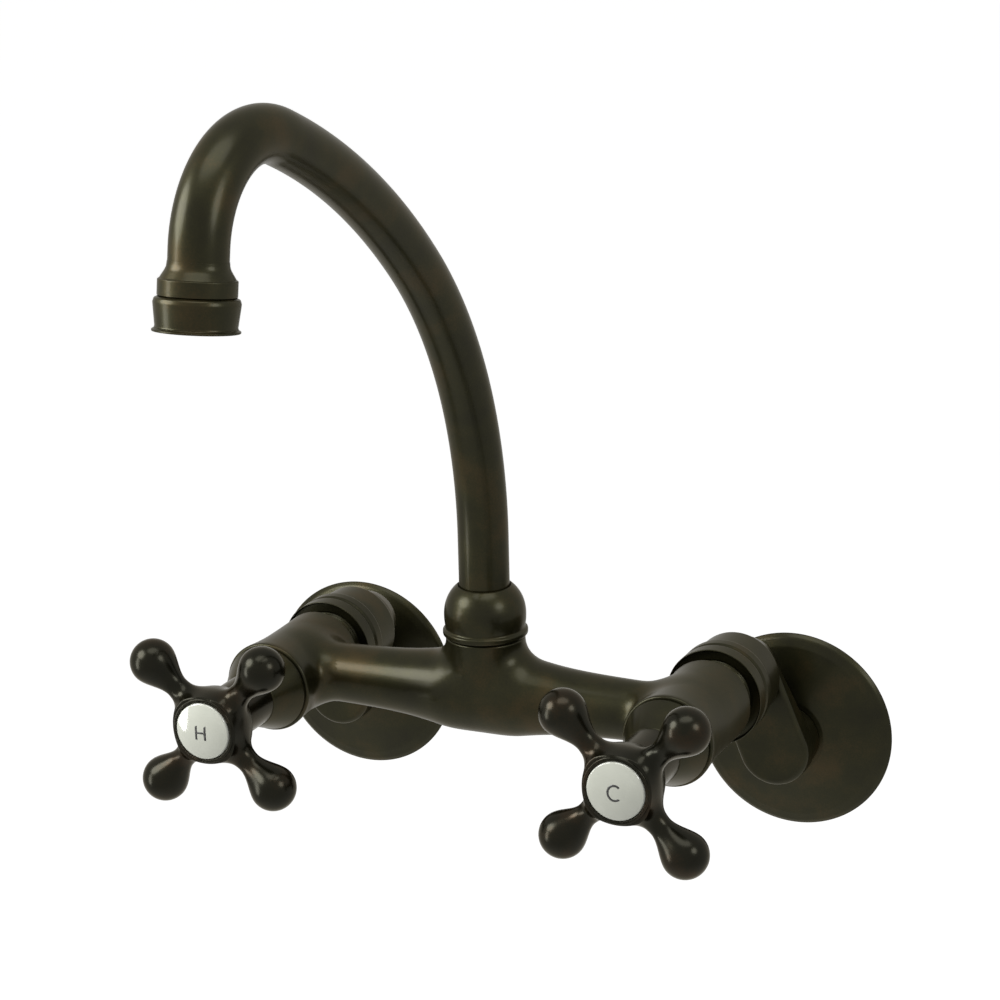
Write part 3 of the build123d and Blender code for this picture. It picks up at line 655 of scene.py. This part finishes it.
def housing_outline():
    """Aerator's shell: a rounded shoulder, a taper and a thin flared lip."""
    bore, mouth, back, lip = OUTLET_THREAD_RADIUS + 0.05, 9.6, 7.8, 17.3
    return rounded([(bore, back, 0.1), (BAND_RADIUS - 0.15, back, 0.15), (12.4, 8.3, 0.7),
                    (AERATOR_RADIUS, 9.5, 1.2), (11.95, 16.4, 0.8), (12.2, 16.9, 0.3),
                    (AERATOR_LIP_RADIUS, lip, 0.15), (AERATOR_LIP_RADIUS, 17.85, 0.2), (mouth, 17.9, 0.3),
                    (mouth, lip, 0.1), (bore, lip, 0.1)])


def stroke(path, width, sign):
    """Letter stroke on a button: a flat band along a path of (x, z), 0.06 mm proud of the dome and 0.08 mm
    into it."""
    path = np.asarray(path, float)
    way = unit(np.gradient(path, axis=0))
    aside = np.stack([-way[:, 1], way[:, 0]], 1) * width / 2
    rows = []
    for offset, proud in ((-1, 0.06), (1, 0.06), (1, -0.08), (-1, -0.08)):
        flat = path + offset * aside
        dome = crown(np.hypot(*flat.T))
        rows.append(np.stack([sign * VALVE_X + flat[:, 0], dome + proud, flat[:, 1]], 1))
    grid = np.stack(rows, 1)
    ends = [grid[k:k + 1] * 0 + grid[k].mean(0) for k in (0, -1)]
    return shell(np.concatenate([ends[0], grid, ends[1]]))


def letter_h(sign):
    """Plain upright H: two posts and a bar."""
    posts = [stroke(np.linspace((x, -2.6), (x, 2.6), 14), 0.75, sign) for x in (-1.7, 1.7)]
    return posts + [stroke(np.linspace((-1.5, 0), (1.5, 0), 8), 0.65, sign)]


def letter_c(sign):
    """Plain upright C: the part of an ellipse that leaves 96 degrees open on the right."""
    bend = np.linspace(radians(48), radians(312), 48)
    return [stroke(np.stack([2.35 * np.cos(bend) + 0.2, 2.6 * np.sin(bend)], 1), 0.72, sign)]


# finishes

def linear(hexcode):
    """sRGB hex colour to the linear values that shaders take."""
    value = np.array([int(hexcode[k:k + 2], 16) / 255 for k in (1, 3, 5)])
    value = np.where(value <= 0.04045, value / 12.92, ((value + 0.055) / 1.055) ** 2.4)
    return (*value, 1.0)


def add(tree, kind, links=None, stops=(), **settings):
    """Adds one node: settings are its own values, links are its inputs by name or number, each a constant or
    another node's output, and stops are a colour ramp's (place, hex colour) pairs."""
    node = tree.nodes.new(kind)
    for name, value in settings.items():
        setattr(node, name, value)
    for name, value in (links or {}).items():
        if isinstance(value, bpy.types.NodeSocket):
            tree.links.new(value, node.inputs[name])
        else:
            node.inputs[name].default_value = value
    for _ in stops[2:]:
        node.color_ramp.elements.new(0.5)
    for number, (place, colour) in enumerate(stops):
        node.color_ramp.elements[number].position = place
        node.color_ramp.elements[number].color = linear(colour)
    return node


def material(name):
    """An empty material and its node tree."""
    made = bpy.data.materials.new(name)
    made.use_nodes = True
    made.node_tree.nodes.clear()
    return made, made.node_tree


# Metal mirrors at a glancing angle whatever its colour, so the outlines of the bronze would turn white in a
# white room. This warm grey holds that reflection down, as the dull coat does on the real part.
EDGE_TINT = (0.56, 0.53, 0.46, 1)


def bronze(name, dark, base, worn, rough, rough_spread, grain, cloud_mm):
    """Oil-rubbed bronze: a turned or cast brass part under a thin, dark, baked and rubbed coat. The eye gets
    an almost black olive brown, clouded by the rubbing, with a fine speckle and broad soft lights of the
    same olive. The coat's real speckle is finer than 0.6 mm and is drawn that coarse so that it shows."""
    made, tree = material(name)
    spot = add(tree, "ShaderNodeTexCoord").outputs["Object"]
    cloud, speck, ripple = (
        add(tree, "ShaderNodeTexNoise", {"Vector": spot, "Scale": 1000 / size_mm, "Detail": detail,
                                         "Roughness": roughness}).outputs["Fac"]
        for size_mm, detail, roughness in ((cloud_mm, 3.0, 0.5), (0.6, 2.0, 0.6), (3.5, 2.0, 0.5)))
    mixed = add(tree, "ShaderNodeMath", {0: speck, 1: 0.35, 2: cloud}, operation="MULTIPLY_ADD").outputs[0]
    colour = add(tree, "ShaderNodeValToRGB", {"Fac": mixed},
                 ((0.45, dark), (0.68, base), (0.92, worn))).outputs["Color"]
    gloss = add(tree, "ShaderNodeMapRange", {"Value": cloud, 1: 0.3, 2: 0.7, 3: rough - rough_spread,
                                             4: rough + rough_spread}).outputs[0]
    low = add(tree, "ShaderNodeBump", {"Height": ripple, "Strength": 0.06, "Distance": 0.0002})
    high = add(tree, "ShaderNodeBump", {"Height": speck, "Strength": grain, "Distance": 0.00003,
                                        "Normal": low.outputs[0]})
    shader = add(tree, "ShaderNodeBsdfPrincipled",
                 {"Base Color": colour, "Roughness": gloss, "Metallic": 0.75, "Specular IOR Level": 0.2,
                  "Specular Tint": EDGE_TINT, "Coat Weight": 0.12, "Coat Roughness": 0.2,
                  "Normal": high.outputs[0]})
    add(tree, "ShaderNodeOutputMaterial", {"Surface": shader.outputs[0]})
    return made


def plain(name, base, other, rough, metallic=0.0, grain_mm=2.0, grain=0.1, **more):
    """A turned, moulded or fired part: two near colours mixed by noise, with fine bump."""
    made, tree = material(name)
    spot = add(tree, "ShaderNodeTexCoord").outputs["Object"]
    cloud = add(tree, "ShaderNodeTexNoise", {"Vector": spot, "Scale": 1000 / grain_mm,
                                             "Detail": 3.0}).outputs["Fac"]
    colour = add(tree, "ShaderNodeValToRGB", {"Fac": cloud}, ((0.3, base), (0.7, other))).outputs["Color"]
    gloss = add(tree, "ShaderNodeMapRange", {"Value": cloud, 1: 0.3, 2: 0.7, 3: rough * 0.85,
                                             4: rough * 1.15}).outputs[0]
    bump = add(tree, "ShaderNodeBump", {"Height": cloud, "Strength": grain, "Distance": 0.00005})
    shader = add(tree, "ShaderNodeBsdfPrincipled", {"Base Color": colour, "Roughness": gloss,
                                                    "Metallic": metallic, "Normal": bump.outputs[0], **more})
    add(tree, "ShaderNodeOutputMaterial", {"Surface": shader.outputs[0]})
    return made


# The body's coat is rubbed to a satin, the handles' is darker and polished. The sleeves also take the
# handles' darker coat, which on them is painted shade from the handles.
satin_bronze = bronze("oil_rubbed_bronze_satin", "#1e1d12", "#242314", "#322a18", 0.36, 0.03, 0.3, 16)
dark_bronze = bronze("oil_rubbed_bronze_polished", "#12120a", "#17160d", "#251c10", 0.25, 0.02, 0.08, 12)
# Porcelain glazed after firing: an even warm white under sharp, clear lights.
porcelain = plain("glazed_porcelain", "#acaea2", "#b2b4a8", 0.10, grain_mm=6, grain=0.02,
                  **{"IOR": 1.52, "Coat Weight": 0.4, "Coat Roughness": 0.04})
# Ink fired into the glaze: a soft black without a light of its own.
ink = plain("fired_black_ink", "#171716", "#23221f", 0.35, grain_mm=0.4)
# Brass as it leaves the lathe: bright yellow metal with a faint, uneven sheen.
brass = plain("turned_brass", "#c9a356", "#d8b66c", 0.28, 1.0, 0.8, 0.15)
# Moulded nitrile rubber: a dull black with a fine tooth.
rubber = plain("moulded_nitrile_rubber", "#1b1b1c", "#262627", 0.62, grain_mm=0.3, grain=0.3)
# Fired and lapped alumina: an even ivory with a silky face.
alumina = plain("fired_alumina", "#e6e0d4", "#efeae0", 0.3, grain_mm=0.5, grain=0.05)
# Turned stainless steel: neutral grey metal with a faint, uneven sheen.
steel = plain("turned_stainless_steel", "#a8a9aa", "#c0c1c1", 0.3, 1.0, 0.5, 0.1)
# Moulded acetal: a pale grey plastic with a low sheen.
acetal = plain("moulded_acetal", "#c6c8c3", "#d2d4cf", 0.4, grain_mm=0.6)

FINISHES = {"bronze_satin": satin_bronze, "bronze_dark": dark_bronze, "porcelain": porcelain, "brass": brass,
            "rubber": rubber, "alumina": alumina, "steel": steel, "plastic": acetal}
for entry in frame["record"]["subparts"]:
    node = frame["nodes"][entry["node"]]
    node.data.materials.clear()
    node.data.materials.append(FINISHES[entry["material_slot"]])


# pieces

piece("bridge_casting_body", bridge_shells(), "body", "bronze_satin", ["body_casting"])
piece("spout_collar_cap", turned_ring(collar_outline(), HUB_AXIS, columns=192), "body", "bronze_satin",
      ["spout_collar"])

for side, sign in SIDES:
    valve, inlet = valve_axis(sign), inlet_axis(sign)
    piece(f"{side}_union_nut", turned_ring(union_nut_outline(), valve, columns=192), "body", "bronze_satin",
          [f"{side}_coupling_nut"])
    piece(f"{side}_valve_shroud", turned_ring(shroud_outline(), valve, columns=192), "body", "bronze_satin",
          [f"{side}_valve_cover"])
    # The sleeve's darker finish is painted shade: it stands in for the handle's shadow on the sleeve.
    piece(f"{side}_shroud_sleeve_painted_shade", turned_ring(sleeve_outline(), valve, columns=160), "body", "bronze_dark")
    piece(f"{side}_offset_arm", offset_arm_shells(sign), f"{side}_arm", "bronze_satin", [f"{side}_swing_arm"])
    flange = turned_ring(flange_outline(), inlet, columns=240)
    piece(f"{side}_dished_flange", flange, f"{side}_arm", "bronze_satin",
          [f"{side}_wall_flange"])
    piece(f"{side}_cross", handle_shells(sign, REST_TURN[side]), f"{side}_handle", "bronze_dark",
          [f"{side}_cross_handle"])
    piece(f"{side}_index_button", [shell(turned(button_outline(), valve, 192))], f"{side}_handle",
          "porcelain", [f"{side}_porcelain_button"])

# The letters lie on the buttons and have no CAD node of their own.
piece("hot_letter", letter_h(-1), "hot_handle", "porcelain", finish=ink)
piece("cold_letter", letter_c(1), "cold_handle", "porcelain", finish=ink)

outlet = outlet_axis()
piece("spout_gooseneck", [tube_shell()], "spout", "bronze_satin", ["spout_tube"])
piece("spout_end_ferrule", turned_ring(ferrule_outline(), outlet, columns=160), "spout", "bronze_satin",
      ["spout_outlet_ferrule"])
piece("aerator_shell", turned_ring(housing_outline(), outlet, columns=160), "spout", "bronze_satin",
      ["aerator_housing"])


# floor, world, lamps and camera

def seen(tree):
    """One for rays that see the background: straight, in a gloss, or through glass."""
    path = add(tree, "ShaderNodeLightPath")
    first = add(tree, "ShaderNodeMath", {0: path.outputs["Is Camera Ray"], 1: path.outputs["Is Glossy Ray"]},
                operation="MAXIMUM").outputs[0]
    return add(tree, "ShaderNodeMath", {0: first, 1: path.outputs["Is Transmission Ray"]},
               operation="MAXIMUM").outputs[0]


# The floor lies well below the tap, in metres. It and the world are white where they are seen or mirrored,
# and light the tap only softly.
FLOOR_HEIGHT, FLOOR_REACH = -0.9, 40
floor_mesh = bpy.data.meshes.new("floor")
floor_mesh.from_pydata([(x * FLOOR_REACH, y * FLOOR_REACH, FLOOR_HEIGHT)
                        for x, y in ((-1, -1), (1, -1), (1, 1), (-1, 1))], [], [(0, 1, 2, 3)])
floor = bpy.data.objects.new("floor", floor_mesh)
bpy.context.collection.objects.link(floor)
floor_paint, tree = material("pale_floor_paint")
matt = add(tree, "ShaderNodeBsdfDiffuse", {"Color": linear("#e9e9e7")})
glow = add(tree, "ShaderNodeEmission", {"Color": (1, 1, 1, 1), "Strength": 0.8})
both = add(tree, "ShaderNodeAddShader", {0: matt.outputs[0], 1: glow.outputs[0]})
mixed = add(tree, "ShaderNodeMixShader", {0: seen(tree), 1: matt.outputs[0], 2: both.outputs[0]})
add(tree, "ShaderNodeOutputMaterial", {"Surface": mixed.outputs[0]})
floor_mesh.materials.append(floor_paint)

world = bpy.data.worlds.new("studio")
world.use_nodes = True
bpy.context.scene.world = world
tree = world.node_tree
tree.nodes.clear()
soft = add(tree, "ShaderNodeBackground", {"Color": (1, 1, 1, 1), "Strength": 0.25})
white = add(tree, "ShaderNodeBackground", {"Color": (1, 1, 1, 1), "Strength": 1.0})
mixed = add(tree, "ShaderNodeMixShader", {0: seen(tree), 1: soft.outputs[0], 2: white.outputs[0]})
add(tree, "ShaderNodeOutputWorld", {"Surface": mixed.outputs[0]})


# Point that every lamp faces, in metres.
LAMP_AIM = (0, -0.1, 0.08)


def lamp(name, spot, width, height, power):
    """Soft box: an oval area lamp, in metres and watts, whose own back points away from the aim point."""
    light = bpy.data.lights.new(name, "AREA")
    light.shape, light.size, light.size_y, light.energy = "ELLIPSE", width, height, power
    made = bpy.data.objects.new(name, light)
    bpy.context.collection.objects.link(made)
    back = unit(np.array(spot) - LAMP_AIM)
    right = unit(np.cross(UP, back))
    turn = Matrix(np.stack([right, np.cross(back, right), back], 1).tolist()).to_4x4()
    made.matrix_world = Matrix.Translation(spot) @ turn
    made.visible_camera = False


lamp("left_softbox", (-0.50, -0.47, 0.44), 0.42, 0.38, 5.8)
lamp("left_strip", (-0.81, -0.69, 0.03), 0.26, 0.7, 4.5)
lamp("right_softbox", (0.84, -0.37, 0.55), 0.4, 0.4, 3.2)
lamp("top_softbox", (0.12, -0.38, 1.15), 1.1, 0.6, 7.0)

# The photograph's camera, worked out from the tap's round edges: metres, degrees, and a focal length in
# millimetres on a 36 mm wide sensor. Looking along +Y is a yaw of 0.
CAMERA_SPOT = (0.394878, -0.936080, 0.378720)
YAW, PITCH, ROLL = radians(24.360), radians(16.413), radians(1.379)
FOCAL_LENGTH, SENSOR_WIDTH = 102.178, 36.0

ahead = np.array([-sin(YAW) * cos(PITCH), cos(YAW) * cos(PITCH), -sin(PITCH)])
right = np.array([cos(YAW), sin(YAW), 0])
down = np.cross(ahead, right)
tilted_right = cos(ROLL) * right + sin(ROLL) * down
tilted_down = -sin(ROLL) * right + cos(ROLL) * down
camera_data = bpy.data.cameras.new("camera")
camera_data.sensor_width = SENSOR_WIDTH
camera_data.sensor_fit = "HORIZONTAL"
camera_data.lens = FOCAL_LENGTH
camera_data.clip_end = 200
camera = bpy.data.objects.new("camera", camera_data)
bpy.context.collection.objects.link(camera)
camera.matrix_world = (Matrix.Translation(CAMERA_SPOT)
                       @ Matrix(np.stack([tilted_right, -tilted_down, -ahead], 1).tolist()).to_4x4())
bpy.context.scene.camera = camera
bpy.context.scene.view_settings.view_transform = "Standard"
